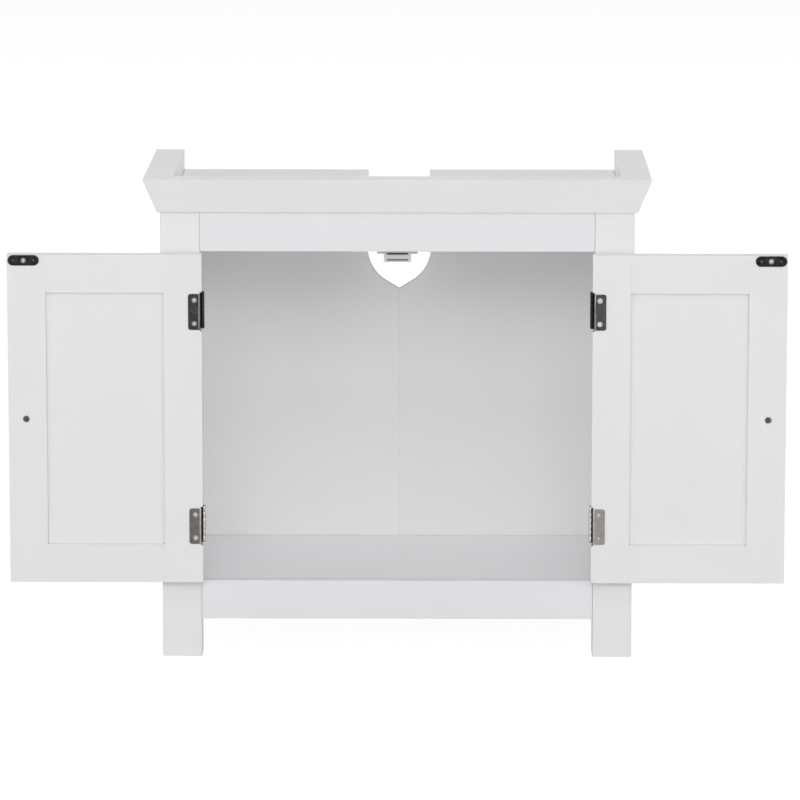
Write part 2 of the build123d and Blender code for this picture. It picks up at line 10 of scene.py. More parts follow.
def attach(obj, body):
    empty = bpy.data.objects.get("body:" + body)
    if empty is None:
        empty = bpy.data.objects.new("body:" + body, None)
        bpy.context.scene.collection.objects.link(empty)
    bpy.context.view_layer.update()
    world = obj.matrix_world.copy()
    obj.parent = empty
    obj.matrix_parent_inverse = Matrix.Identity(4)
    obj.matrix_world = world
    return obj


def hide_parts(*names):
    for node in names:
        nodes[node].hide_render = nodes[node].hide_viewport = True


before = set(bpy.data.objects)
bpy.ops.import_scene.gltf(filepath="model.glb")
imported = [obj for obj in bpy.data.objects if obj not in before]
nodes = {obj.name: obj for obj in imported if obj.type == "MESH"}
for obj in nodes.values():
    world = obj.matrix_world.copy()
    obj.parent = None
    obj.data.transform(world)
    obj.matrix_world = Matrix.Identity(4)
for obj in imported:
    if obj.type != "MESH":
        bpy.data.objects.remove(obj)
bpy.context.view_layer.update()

MM = 0.001
scene = bpy.context.scene
scene.view_settings.view_transform = "Standard"

# The two sides, each with its sign along X, and the axes
SIDES = {"left": -1, "right": 1}
ALONG_X = (1, 0, 0)
ALONG_Y = (0, 1, 0)
ALONG_Z = (0, 0, 1)

# Camera: the photograph's viewpoint in metres and degrees, its focal length in pixels of an 800-pixel frame,
# and the width of its sensor in millimetres
CAMERA_PLACE = (0.0573, -6.437, 1.4089)
CAMERA_YAW = 0.489
CAMERA_PITCH = 9.691
CAMERA_ROLL = 0.031
CAMERA_RANGE = (0.1, 100.0)
FOCAL_PIXELS = 5021.9
FRAME_PIXELS = 800
SENSOR_WIDTH = 36.0

# Lamps: turn from the front and height angle in degrees, distance and size in metres, power in watts
SOFTBOXES = {
    "front": (0, 25, 8.0, (4.4, 2.6), 107),
    "front_low": (0, 5, 8.0, (4.4, 1.6), 20),
    "front_high": (0, 50, 8.0, (4.4, 2.6), 86),
    "left_side": (-32, 12, 8.0, (3.2, 2.8), 61),
    "right_side": (32, 12, 8.0, (3.2, 2.8), 61),
    "left_flank": (-55, 8, 8.0, (3.2, 2.4), 65),
    "right_flank": (55, 8, 8.0, (3.2, 2.4), 65),
    "overhead": (0, 80, 6.0, (5.0, 5.0), 46),
    "rear": (180, 42, 8.0, (4.4, 2.6), 50),
    "rear_left": (-132, 22, 8.0, (3.2, 2.8), 105),
    "rear_right": (132, 22, 8.0, (3.2, 2.8), 105),
}
LAMP_AIM = (0.0, 0.0, 0.33)

# Studio: strength of the light from all round, and of the background as it is seen
AMBIENT = 0.10
BACKGROUND = 1.0

# Floor: half width in metres, its colour to the lamps, and what the camera sees: a faint colour that takes
# shadows, and a glow
FLOOR_REACH = 20.0
FLOOR_WHITE = (0.8, 0.8, 0.8)
FLOOR_FAINT = (0.16, 0.16, 0.16)
FLOOR_GLOW = 0.94

# Screws, in millimetres: head radius, shank radius, length, head height and whether the head is countersunk
WOOD_SCREW = (3.4, 1.6, 13.0, 1.8, True)
CLEAT_SCREW = (3.4, 1.6, 28.0, 1.8, True)
CATCH_SCREW = (2.8, 1.4, 12.0, 1.4, True)
KNOB_SCREW = (3.7, 2.0, 24.0, 2.2, False)

# A head's face, in millimetres: how far in from its rim and how deep each ring lies
SUNK_FACE = ((0.15, 0.0), (0.0, 0.15))
PAN_FACE = ((0.9, 0.0), (0.25, 0.3), (0.0, 0.9))

# A shank, in millimetres: plain start, thread, a wood screw's taper or a machine screw's chamfer, and how far
# short of the CAD's it ends
PLAIN_SHANK = 1.0
THREAD_PITCH = 1.3
THREAD_DEPTH = 0.3
TAPER = 3.0
TAPER_RADIUS = 0.25
CHAMFER = 0.5
END_CLEARANCE = 0.1

# A cross recess, in head radii: reach and half width of its arms at the floor and at the rim, and its depth
RECESS_FLOOR = (0.16, 0.09)
RECESS_RIM = (0.50, 0.12)
RECESS_DEPTH = 0.45

# How finely a screw is drawn, and how many of its bands, from the recess outwards, stay flat
SCREW_SIDES = 24
RINGS_PER_TURN = 4
FLAT_BANDS = 3

# How the crosses are turned, in degrees: the first of a row, and the step to each next one
SCREW_TURNS = (25.0, 37.0)
CLEAT_TURNS = (40.0, 50.0)

# The middles of the right-hand screws' faces, in millimetres
HINGE_SCREW_HEIGHTS = (464.5, 434.5, 188.5, 158.5)
DOOR_LEAF_SEAT = (256.5, -161.5)
FRAME_LEAF_SEAT = (249.0, -126.5)
STRIKER_SEAT = (472.25, -161.7, 515.1)
KNOB_SEAT = (470.75, -159.5, 311.5)
CATCH_SEAT = (21.475, -113.2, 518.5)
CLEAT_SEATS = ((262.0, -51.5, 73.0), (262.0, 69.5, 73.0))

# Zones across a hinge: their inner edge and width in millimetres, and the steps as shares of that width, with
# painted shade and a painted highlight between knuckles and flange
ZONES_EDGE = 244.75
ZONES_WIDTH = 10.0
KNUCKLES_END = 0.27
PAINTED_SHADE_ZONE = (0.33, 0.47)
BEND = (0.53, 0.62)
FLANGE_START = 0.68

# Other zones, in millimetres: the frame leaf's start behind the knuckles, a striker's dimples where
# highlights are painted, and the heights across which painted light and shade change
BEHIND_KNUCKLES = (-139.4, -139.0)
DIMPLE_SPACING = 25.2
DIMPLE_RADII = (0.4, 1.1)
BETWEEN_POLES = (514.0, 515.0)
BETWEEN_HINGES = (300.0, 320.0)

# A cut-out's edge by its normal: the part along Y, from edge to face, and the part upwards, from side to edge
EDGE_TO_FACE = (0.94, 0.97)
SIDE_TO_EDGE = (0.02, 0.06)

# Widths of the eased edges, and how near points are joined before that, in millimetres
WOOD_EASE = 0.5
DOOR_FRAME_EASE = 0.3
BACK_EASE = 0.4
HINGE_EASE = 0.32
STRIKER_EASE = 0.25
KNOB_EASE = 0.6
CATCH_EASE = 0.3
POLE_EASE = 0.1
WELD_REACH = 0.001

# Angles between faces, in degrees: up to the first they count as flat, from the second their edge is eased
FLAT_ANGLE = 1.0
EASED_ANGLE = 30.0

# Patterns of the finishes: features per metre, and detail
CLOUDS = (5.0, 4.0)
SPECKS = (420.0, 2.0)
PAINT_GLOSS = (36.0, 3.0)
ORANGE_PEEL = (650.0, 2.0)
SPRAY_WAVES = (60.0, 2.0)
BLOTCHES = (190.0, 4.0)
ROLLED_STREAKS = (2600.0, 2.0)
ROLLED_GRAIN = (1800.0, 3.0)
METAL_GLOSS = (700.0, 3.0)
PLASTIC_CLOUDS = (90.0, 3.0)
PLASTIC_GLOSS = (500.0, 2.0)
SPARK_GRAIN = (2200.0, 2.0)

# The ranges that the patterns usually have
NOISE_RANGE = (0.3, 0.7)
SPECKS_RANGE = (0.35, 0.65)

# How far the roughness of a finish strays below and above its own
PAINT_STRAY = (0.015, 0.025)
METAL_STRAY = (0.06, 0.1)

# Grain of metal and plastic: its depth in millimetres, and how rolling stretches it
GRAIN_DEPTH = 0.03
ROLLED_STRETCH = (1.0, 1.0, 0.08)

# Painted shade in joints and corners: how near their sides lie, in millimetres, and how open they are where
# darkest and where clear
PAINT_SHADE_REACH = 3.0
PLASTIC_SHADE_REACH = 2.0
OPEN_SHARE = (0.25, 0.75)

# Colours, linear
WHITE = (0.895, 0.893, 0.90)
# The crown's white: the posts' paint, painted lighter to stand in for light on its downward-tilted front
CROWN_WHITE_PAINTED_LIGHTER = (0.935, 0.935, 0.943)
COOL_WHITE = (0.885, 0.878, 0.905)
# The inside's whites: the outside's paint, painted lighter to stand in for light inside the cabinet
INSIDE_WHITE_PAINTED_LIGHTER = (0.95, 0.95, 0.958)
SHELF_WHITE_PAINTED_LIGHTER = (0.95, 0.95, 0.965)
RAW_EDGE = (0.20, 0.195, 0.19)


# Node helpers
def new_material(name):
    """An empty node material with its output, ready for a shader."""
    material = bpy.data.materials.new(name)
    material.use_nodes = True
    tree = material.node_tree
    tree.nodes.clear()
    output = tree.nodes.new("ShaderNodeOutputMaterial")
    return material, tree, output


def add(tree, kind, **settings):
    """A node with some of its properties set."""
    node = tree.nodes.new(kind)
    for key, value in settings.items():
        setattr(node, key, value)
    return node


def link(tree, source, target):
    tree.links.new(source, target)


def remap(tree, value, low, high, new_low, new_high):
    """A value stretched from one range to another."""
    node = add(tree, "ShaderNodeMapRange")
    for key, number in zip(("From Min", "From Max", "To Min", "To Max"), (low, high, new_low, new_high)):
        node.inputs[key].default_value = number
    link(tree, value, node.inputs["Value"])
    return node.outputs["Result"]


def noise(tree, vector, pattern):
    """One of the patterns, from 0 to 1."""
    node = add(tree, "ShaderNodeTexNoise")
    node.inputs["Scale"].default_value, node.inputs["Detail"].default_value = pattern
    link(tree, vector, node.inputs["Vector"])
    return node.outputs["Fac"]


def varied(tree, vector, pattern, low, high, usual=NOISE_RANGE):
    """One of the patterns, stretched so that its usual range runs between two values."""
    return remap(tree, noise(tree, vector, pattern), *usual, low, high)


def arithmetic(tree, operation, value, other=None):
    """A value put through one operation, with a number or a second value where it takes two."""
    node = add(tree, "ShaderNodeMath", operation=operation)
    link(tree, value, node.inputs[0])
    if isinstance(other, float):
        node.inputs[1].default_value = other
    elif other is not None:
        link(tree, other, node.inputs[1])
    return node.outputs["Value"]


def multiply(tree, first, second):
    return arithmetic(tree, "MULTIPLY", first, second)


def set_colour(tree, target, colour):
    """Set an input to a constant colour, or link a value to it."""
    if isinstance(colour, tuple):
        target.default_value = (*colour, 1.0)
    else:
        link(tree, colour, target)


def tint(tree, colour, factor):
    """A colour multiplied by a grey factor."""
    node = add(tree, "ShaderNodeMix", data_type="RGBA", blend_type="MULTIPLY")
    node.inputs["Factor"].default_value = 1.0
    set_colour(tree, node.inputs["A"], colour)
    link(tree, factor, node.inputs["B"])
    return node.outputs["Result"]


def blend(tree, factor, none, full):
    """A colour that goes from one at factor 0 to another at factor 1."""
    node = add(tree, "ShaderNodeMix", data_type="RGBA")
    link(tree, factor, node.inputs["Factor"])
    set_colour(tree, node.inputs["A"], none)
    set_colour(tree, node.inputs["B"], full)
    return node.outputs["Result"]


def axes(tree):
    """Object coordinates, apart."""
    coordinates = add(tree, "ShaderNodeTexCoord")
    parts = add(tree, "ShaderNodeSeparateXYZ")
    link(tree, coordinates.outputs["Object"], parts.inputs["Vector"])
    return parts.outputs["X"], parts.outputs["Y"], parts.outputs["Z"]


def piece_coordinates(tree):
    """Object coordinates, shifted by a different amount on each piece."""
    coordinates = add(tree, "ShaderNodeTexCoord")
    info = add(tree, "ShaderNodeObjectInfo")
    shift = add(tree, "ShaderNodeVectorMath", operation="ADD")
    link(tree, coordinates.outputs["Object"], shift.inputs[0])
    link(tree, info.outputs["Random"], shift.inputs[1])
    return shift.outputs["Vector"]


def bump(tree, height, depth, normal=None):
    """Relief of so many millimetres, over another relief if there is one."""
    node = add(tree, "ShaderNodeBump")
    node.inputs["Strength"].default_value = 1.0
    node.inputs["Distance"].default_value = depth * MM
    link(tree, height, node.inputs["Height"])
    if normal:
        link(tree, normal, node.inputs["Normal"])
    return node.outputs["Normal"]


def painted_joint_shade(tree, reach, darkest):
    """Painted shade: a factor that falls in joints and corners closer than so many millimetres."""
    node = add(tree, "ShaderNodeAmbientOcclusion", samples=8)
    node.inputs["Distance"].default_value = reach * MM
    return remap(tree, node.outputs["AO"], *OPEN_SHARE, darkest, 1.0)


# Colours that change over a piece: raw cut edges, and painted highlights, reflections and shade on the
# hardware
def cut_edge(tree, face, edge):
    """One colour on a board's faces and sides, another on the edges of a cut-out, which face upwards."""
    geometry = add(tree, "ShaderNodeNewGeometry")
    parts = add(tree, "ShaderNodeSeparateXYZ")
    link(tree, geometry.outputs["True Normal"], parts.inputs["Vector"])
    facing = arithmetic(tree, "ABSOLUTE", parts.outputs["Y"])
    off_face = remap(tree, facing, *EDGE_TO_FACE, 1.0, 0.0)
    off_side = remap(tree, parts.outputs["Z"], *SIDE_TO_EDGE, 0.0, 1.0)
    return blend(tree, multiply(tree, off_face, off_side), face, edge)


def hinge_zones(flange, bend, painted_shade, knuckles):
    """Tones across a hinge: its flange, a painted highlight on the outside of its bend, painted shade beside
    that, and its knuckles, painted lighter or darker for the light they catch.
    """

    def zones(tree):
        x, y, _ = axes(tree)
        edge = ZONES_EDGE * MM
        place = remap(tree, arithmetic(tree, "ABSOLUTE", x), edge, edge + ZONES_WIDTH * MM, 0.0, 1.0)
        ramp = add(tree, "ShaderNodeValToRGB")
        steps = ramp.color_ramp.elements
        steps[0].position, steps[0].color = KNUCKLES_END, (*knuckles, 1.0)
        steps[1].position, steps[1].color = PAINTED_SHADE_ZONE[0], (*painted_shade, 1.0)
        # Painted shade beside the bend, a painted highlight on it, then the flange
        for position, colour in ((PAINTED_SHADE_ZONE[1], painted_shade), (BEND[0], bend), (BEND[1], bend), (FLANGE_START, flange)):
            steps.new(position).color = (*colour, 1.0)
        link(tree, place, ramp.inputs["Fac"])
        front, back = BEHIND_KNUCKLES
        behind = remap(tree, y, front * MM, back * MM, 0.0, 1.0)
        return blend(tree, behind, ramp.outputs["Color"], flange)

    return zones


def striker_zones(plate, painted_dimple_highlight):
    """A dark plate with a painted highlight on each of its two dimples."""

    def zones(tree):
        x, _, z = axes(tree)
        middle, _, height = STRIKER_SEAT
        along = arithmetic(tree, "SUBTRACT", arithmetic(tree, "ABSOLUTE", x), middle * MM)
        along = arithmetic(tree, "SUBTRACT", arithmetic(tree, "ABSOLUTE", along), DIMPLE_SPACING * MM / 2)
        across = arithmetic(tree, "SUBTRACT", z, height * MM)
        both = add(tree, "ShaderNodeCombineXYZ")
        link(tree, along, both.inputs["X"])
        link(tree, across, both.inputs["Y"])
        reach = add(tree, "ShaderNodeVectorMath", operation="LENGTH")
        link(tree, both.outputs["Vector"], reach.inputs[0])
        inner, outer = DIMPLE_RADII
        inside = remap(tree, reach.outputs["Value"], inner * MM, outer * MM, 1.0, 0.0)
        return blend(tree, inside, plate, painted_dimple_highlight)

    return zones


def painted_tones_by_height(between, upper, lower):
    """One tone above a band of heights, another below it, as painted light and shade that differ between
    them.
    """

    def zones(tree):
        _, _, z = axes(tree)
        bottom, top = between
        below = remap(tree, z, bottom * MM, top * MM, 1.0, 0.0)
        return blend(tree, below, upper, lower)

    return zones


# Materials
def paint(name, colour, roughness=0.40, peel=0.03, mottle=0.02, shine=0.35, joint_shade=0.5, raw_edge=None):
    """Satin white lacquer: faint clouding, sprayed orange peel where it has any, and painted shade in its
    joints.

    The peel is in millimetres, and the shade factor is the one that the painted shade darkens joints and
    corners to. A raw edge is the colour of a cut-out's edges, where they are left unpainted.
    """
    material, tree, output = new_material(name)
    place = piece_coordinates(tree)
    clouds = varied(tree, place, CLOUDS, 1.0 - mottle, 1.0)
    specks = varied(tree, place, SPECKS, 1.0 - mottle / 2, 1.0, SPECKS_RANGE)
    factor = multiply(tree, clouds, specks)
    # Painted shade darkens the paint in its joints and corners
    factor = multiply(tree, factor, painted_joint_shade(tree, PAINT_SHADE_REACH, joint_shade))
    shader = add(tree, "ShaderNodeBsdfPrincipled")
    if raw_edge:
        colour = cut_edge(tree, colour, raw_edge)
    link(tree, tint(tree, colour, factor), shader.inputs["Base Color"])
    below, above = PAINT_STRAY
    gloss = varied(tree, place, PAINT_GLOSS, roughness - below, roughness + above)
    link(tree, gloss, shader.inputs["Roughness"])
    if peel:
        relief = bump(tree, noise(tree, place, ORANGE_PEEL), peel)
        relief = bump(tree, noise(tree, place, SPRAY_WAVES), peel * 2, relief)
        link(tree, relief, shader.inputs["Normal"])
    shader.inputs["Specular IOR Level"].default_value = shine
    link(tree, shader.outputs["BSDF"], output.inputs["Surface"])
    return material


def metal(name, colour, roughness, blotch, grain=0.0):
    """Plated steel with blotchy tone and a fine rolled grain. Its colour is constant or goes by zones."""
    material, tree, output = new_material(name)
    if not isinstance(colour, tuple):
        colour = colour(tree)
    place = piece_coordinates(tree)
    stretch = add(tree, "ShaderNodeVectorMath", operation="MULTIPLY")
    stretch.inputs[1].default_value = ROLLED_STRETCH
    link(tree, place, stretch.inputs[0])
    rolled = stretch.outputs["Vector"]
    patches = varied(tree, place, BLOTCHES, 1.0 - blotch, 1.0 + blotch)
    streaks = varied(tree, rolled, ROLLED_STREAKS, 1.0 - grain, 1.0)
    shader = add(tree, "ShaderNodeBsdfPrincipled")
    link(tree, tint(tree, colour, multiply(tree, patches, streaks)), shader.inputs["Base Color"])
    shader.inputs["Metallic"].default_value = 1.0
    below, above = METAL_STRAY
    gloss = varied(tree, place, METAL_GLOSS, roughness - below, roughness + above)
    link(tree, gloss, shader.inputs["Roughness"])
    link(tree, bump(tree, noise(tree, rolled, ROLLED_GRAIN), GRAIN_DEPTH), shader.inputs["Normal"])
    link(tree, shader.outputs["BSDF"], output.inputs["Surface"])
    return material


def plastic(name, colour, roughness=(0.42, 0.6), mottle=0.05, joint_shade=0.7):
    """Moulded light plastic with a fine spark-eroded texture, its roughness between two values, and painted
    shade in its joints and corners.
    """
    material, tree, output = new_material(name)
    place = piece_coordinates(tree)
    factor = varied(tree, place, PLASTIC_CLOUDS, 1.0 - mottle, 1.0)
    # Painted shade darkens the plastic in its joints and corners
    factor = multiply(tree, factor, painted_joint_shade(tree, PLASTIC_SHADE_REACH, joint_shade))
    shader = add(tree, "ShaderNodeBsdfPrincipled")
    link(tree, tint(tree, colour, factor), shader.inputs["Base Color"])
    link(tree, varied(tree, place, PLASTIC_GLOSS, *roughness), shader.inputs["Roughness"])
    link(tree, bump(tree, noise(tree, place, SPARK_GRAIN), GRAIN_DEPTH), shader.inputs["Normal"])
    link(tree, shader.outputs["BSDF"], output.inputs["Surface"])
    return material


PAINT = paint("white_paint", WHITE)
DOOR_FRAME_PAINT = paint("white_door_frame_paint", WHITE, joint_shade=0.97)
# The crown's lighter white is painted light
CROWN_PAINT = paint("white_crown_paint", CROWN_WHITE_PAINTED_LIGHTER)
RAIL_PAINT = paint("cool_white_paint", COOL_WHITE)
# The inside's boards and the shelf take whites painted lighter, as painted light
INNER_PAINT = paint("white_side_paint", INSIDE_WHITE_PAINTED_LIGHTER, joint_shade=0.75)
BACK_PAINT = paint(
    "white_back_board", INSIDE_WHITE_PAINTED_LIGHTER, roughness=0.55, peel=0.05, mottle=0.03, joint_shade=0.62, raw_edge=RAW_EDGE,
)
SHELF_PAINT = paint(
    "white_shelf_paint", SHELF_WHITE_PAINTED_LIGHTER, roughness=0.32, peel=0.0, mottle=0.015, shine=0.8, joint_shade=0.8,
)
# One nickel for every hinge and the pins, painted darker or lighter on each for the reflections that it shows
NICKEL_PAINTED_DARKEST = metal(
    "nickel_painted_darkest",
    hinge_zones((0.045, 0.043, 0.043), (0.21, 0.21, 0.205), (0.010, 0.010, 0.010), (0.034, 0.033, 0.032)),
    roughness=0.34,
    blotch=0.35,
)
NICKEL_PAINTED_DARK = metal(
    "nickel_painted_dark",
    hinge_zones((0.066, 0.063, 0.063), (0.22, 0.22, 0.215), (0.010, 0.009, 0.010), (0.022, 0.022, 0.023)),
    roughness=0.34,
    blotch=0.3,
)
NICKEL_PAINTED_LIGHTER = metal(
    "nickel_painted_lighter",
    hinge_zones((0.13, 0.124, 0.118), (0.38, 0.36, 0.35), (0.012, 0.010, 0.011), (0.46, 0.45, 0.43)),
    roughness=0.36,
    blotch=0.2,
)
NICKEL_PAINTED_LIGHTEST = metal(
    "nickel_painted_lightest",
    hinge_zones((0.25, 0.235, 0.22), (0.40, 0.39, 0.37), (0.022, 0.019, 0.015), (0.52, 0.51, 0.48)),
    roughness=0.38,
    blotch=0.12,
)
# The hinge screws: one steel, painted lighter or darker above and below a height for the light and
# reflections there
LEFT_SCREW = metal(
    "left_hinge_screws",
    painted_tones_by_height(BETWEEN_HINGES, (0.23, 0.23, 0.23), (0.31, 0.30, 0.29)),
    roughness=0.34,
    blotch=0.35,
)
RIGHT_SCREW = metal(
    "right_hinge_screws",
    painted_tones_by_height(BETWEEN_HINGES, (0.46, 0.455, 0.45), (0.27, 0.26, 0.25)),
    roughness=0.34,
    blotch=0.3,
)
# The pole plates: one steel, the lower painted lighter than the upper for the light that falls there
POLE_STEEL = metal(
    "pole_steel",
    painted_tones_by_height(BETWEEN_POLES, (0.05, 0.05, 0.053), (0.16, 0.16, 0.165)),
    roughness=0.45,
    blotch=0.2,
)
# Blackened steel with highlights painted on its dimples
STRIKER = metal(
    "blackened_steel",
    striker_zones((0.022, 0.023, 0.024), (0.22, 0.21, 0.21)),
    roughness=0.42,
    blotch=0.5,
)
SCREW = metal("zinc_screw", (0.27, 0.27, 0.27), roughness=0.34, blotch=0.35)
# Cross recesses painted bright: a painted glint where they catch the light
PAINTED_RECESS_GLINT = metal("screw_recess_painted_glint", (0.80, 0.80, 0.79), roughness=0.25, blotch=0.1)
KNOB_SCREW_STEEL = metal("knob_screw_steel", (0.10, 0.10, 0.10), roughness=0.34, blotch=0.5)
MAGNET = metal("ferrite", (0.03, 0.03, 0.032), roughness=0.6, blotch=0.2)
STAPLE = metal("staple_steel", (0.5, 0.5, 0.5), roughness=0.3, blotch=0.1)
KNOB = metal("satin_nickel", (0.55, 0.54, 0.52), roughness=0.32, blotch=0.04, grain=0.06)
CATCH = plastic("catch_plastic", (0.70, 0.70, 0.705))

POSTS_AND_TOP = ["front_left_post", "front_right_post", "top_board"]
CROWN = ["crown_front", "crown_left", "crown_right"]
FRONT_RAILS = ["front_top_rail", "front_bottom_rail"]
INNER_WOOD = [
    "rear_left_post", "rear_right_post", "left_side_panel", "right_side_panel", "rear_bottom_rail",
    "catch_block", "left_floor_cleat", "right_floor_cleat",
]
DOOR_FRAME = ["hinge_stile", "free_stile", "top_rail", "bottom_rail"]
HINGES = {
    "left_upper": NICKEL_PAINTED_DARKEST,
    "right_upper": NICKEL_PAINTED_DARK,
    "left_lower": NICKEL_PAINTED_LIGHTER,
    "right_lower": NICKEL_PAINTED_LIGHTEST,
}
HINGE_SCREWS = {"left": LEFT_SCREW, "right": RIGHT_SCREW}


# Finishes of the CAD nodes
def dress(names, material, ease=0.0, segments=2):
    """Give CAD nodes their material, and ease their edges by so many millimetres."""
    for name in names:
        slots = nodes[name].data.materials
        slots.clear()
        slots.append(material)
        if ease:
            soften(nodes[name], ease, segments)


def soften(node, width, segments):
    """Ease a CAD node's edges with modifiers, leaving its mesh as it is."""
    weld = node.modifiers.new("weld", "WELD")
    weld.merge_threshold = WELD_REACH * MM
    flatten = node.modifiers.new("flatten", "DECIMATE")
    flatten.decimate_type = "DISSOLVE"
    flatten.angle_limit = math.radians(FLAT_ANGLE)
    ease = node.modifiers.new("ease", "BEVEL")
    ease.width = width * MM
    ease.segments = segments
    ease.limit_method = "ANGLE"
    ease.angle_limit = math.radians(EASED_ANGLE)
    ease.use_clamp_overlap = False
    ease.harden_normals = True


def dress_carcass():
    """The posts, boards, rails and catch in their finishes."""
    dress(POSTS_AND_TOP, PAINT, WOOD_EASE)
    dress(CROWN, CROWN_PAINT, WOOD_EASE)
    dress(FRONT_RAILS, RAIL_PAINT, WOOD_EASE)
    dress(INNER_WOOD, INNER_PAINT, WOOD_EASE)
    dress(["floor_board"], SHELF_PAINT, WOOD_EASE)
    dress(["left_back_panel", "right_back_panel"], BACK_PAINT, BACK_EASE)
    dress(["catch_housing"], CATCH, CATCH_EASE)
    dress(["catch_pole_plates"], POLE_STEEL, POLE_EASE)
    dress(["catch_magnet"], MAGNET)
    dress(["back_panel_staples"], STAPLE)


def dress_doors():
    """The doors and their hinges in their finishes."""
    for side in SIDES:
        dress([f"{side}_door_{part}" for part in DOOR_FRAME], DOOR_FRAME_PAINT, DOOR_FRAME_EASE)
        dress([f"{side}_door_panel"], PAINT, WOOD_EASE)
        dress([f"{side}_door_striker"], STRIKER, STRIKER_EASE)
        dress([f"{side}_door_knob"], KNOB, KNOB_EASE, segments=3)
        dress([f"{side}_hinge_pins"], NICKEL_PAINTED_DARKEST)
    for hinge, steel in HINGES.items():
        dress([f"{hinge}_door_leaf", f"{hinge}_frame_leaf"], steel, HINGE_EASE)


# Screws
def screw_rings(size):
    """Radius, depth and thread of each ring of a screw, from the rim of its face to its point."""
    head, shank, length, head_height, sunk = size
    if sunk:
        face, point, tip = SUNK_FACE, length - TAPER, TAPER_RADIUS
    else:
        face, point, tip = PAN_FACE, length - CHAMFER, shank - CHAMFER
    rings = [(head - inset, depth, 0) for inset, depth in face]
    if not sunk:
        rings.append((head, head_height, 0))
    rings.append((shank, head_height, 0))
    depth = head_height + PLAIN_SHANK
    while depth < point:
        rings.append((shank, depth, THREAD_DEPTH))
        depth += THREAD_PITCH / RINGS_PER_TURN
    return rings + [(shank, point, 0), (tip, length - END_CLEARANCE, 0)]


def turned(x, y, angle):
    return x * math.cos(angle) - y * math.sin(angle), x * math.sin(angle) + y * math.cos(angle)


def cross_outline(reach, half_width):
    """Twenty-four points round a cross, one for each side of the screw."""
    middle = (reach + half_width) / 2
    arm = [(reach, -half_width), (reach, 0), (reach, half_width), (middle, half_width),
           (half_width, half_width), (half_width, middle)]
    return [turned(x, y, quarter * math.pi / 2) for quarter in range(4) for x, y in arm]


def ring_outline(radius, depth, thread):
    """The points round a ring, in step with a cross's, drawn in where the thread's groove passes."""
    points = []
    for side in range(SCREW_SIDES):
        angle = 2 * math.pi * (side - 1) / SCREW_SIDES
        groove = 0.5 - 0.5 * math.cos(2 * math.pi * depth / THREAD_PITCH - angle)
        reach = radius - thread * groove
        points.append((reach * math.cos(angle), reach * math.sin(angle)))
    return points


def add_screw(edit, size, seat, across, inward, turn):
    """One cross-recess screw, its face at the seat and its cross turned by an angle."""
    across, inward = Vector(across), Vector(inward)
    upward = inward.cross(across)

    def loop(points, depth):
        ring = []
        for x, y in points:
            x, y = turned(x, y, math.radians(turn))
            ring.append(edit.verts.new((Vector(seat) + across * x + upward * y + inward * depth) * MM))
        return ring

    head = size[0]
    floor = cross_outline(*(share * head for share in RECESS_FLOOR))
    rim = cross_outline(*(share * head for share in RECESS_RIM))
    loops = [loop(floor, RECESS_DEPTH * head), loop(rim, 0.0)]
    for radius, depth, thread in screw_rings(size):
        loops.append(loop(ring_outline(radius, depth, thread), depth))
    for index, (inner, outer) in enumerate(zip(loops, loops[1:])):
        for side in range(SCREW_SIDES):
            after = (side + 1) % SCREW_SIDES
            face = edit.faces.new((inner[side], inner[after], outer[after], outer[side]))
            face.material_index = 1 if index == 0 else 0
            face.smooth = index >= FLAT_BANDS
    edit.faces.new(loops[0]).material_index = 1
    edit.faces.new(reversed(loops[-1]))


def finish_screws(edit, node, body, steel, recess):
    """Turn the edited screws into a piece that stands for the CAD node's plain ones."""
    bmesh.ops.recalc_face_normals(edit, faces=edit.faces)
    mesh = bpy.data.meshes.new(f"{node}_detailed")
    edit.to_mesh(mesh)
    edit.free()
    mesh.materials.append(steel)
    mesh.materials.append(recess)
    piece = bpy.data.objects.new(f"{node}_detailed", mesh)
    scene.collection.objects.link(piece)
    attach(piece, body)
    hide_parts(node)


def screws(node, body, size, seats, across, inward, steel=SCREW, recess=PAINTED_RECESS_GLINT):
    """A row of cross-recess screws that all point the same way."""
    edit = bmesh.new()
    first, step = SCREW_TURNS
    for index, seat in enumerate(seats):
        add_screw(edit, size, seat, across, inward, first + step * index)
    finish_screws(edit, node, body, steel, recess)


def on_side(seat, sign):
    """A right-hand seat, or its mirror image where the sign is -1."""
    x, y, z = seat
    return sign * x, y, z


def door_screws():
    """The screws in each door's leaves, striker and knob, and those in the frame leaves beside it."""
    for side, sign in SIDES.items():
        door = f"{side}_door"
        seats = [on_side((*DOOR_LEAF_SEAT, z), sign) for z in HINGE_SCREW_HEIGHTS]
        screws(f"{door}_leaf_screws", door, WOOD_SCREW, seats, ALONG_X, ALONG_Y, HINGE_SCREWS[side])
        seats = [on_side(STRIKER_SEAT, sign)]
        screws(f"{door}_striker_screw", door, WOOD_SCREW, seats, ALONG_X, ALONG_Y)
        seats = [on_side(KNOB_SEAT, sign)]
        steel = KNOB_SCREW_STEEL
        screws(f"{door}_knob_screw", door, KNOB_SCREW, seats, ALONG_X, ALONG_Y, steel, recess=steel)
        seats = [on_side((*FRAME_LEAF_SEAT, z), sign) for z in HINGE_SCREW_HEIGHTS]
        screws(f"{side}_frame_leaf_screws", "carcass", WOOD_SCREW, seats, ALONG_Y, (sign, 0, 0))


def catch_screws():
    """The two screws through the catch's wings, up into its block."""
    seats = [on_side(CATCH_SEAT, sign) for sign in SIDES.values()]
    screws("catch_screws", "carcass", CATCH_SCREW, seats, ALONG_X, ALONG_Z)


def cleat_screws():
    """The screws that hold both floor cleats, in one piece as in the CAD."""
    edit = bmesh.new()
    first, step = CLEAT_TURNS
    for sign in SIDES.values():
        for index, seat in enumerate(CLEAT_SEATS):
            turn = first + step * index
            add_screw(edit, CLEAT_SCREW, on_side(seat, sign), ALONG_Y, (sign, 0, 0), turn)
    finish_screws(edit, "cleat_screws", "carcass", SCREW, PAINTED_RECESS_GLINT)


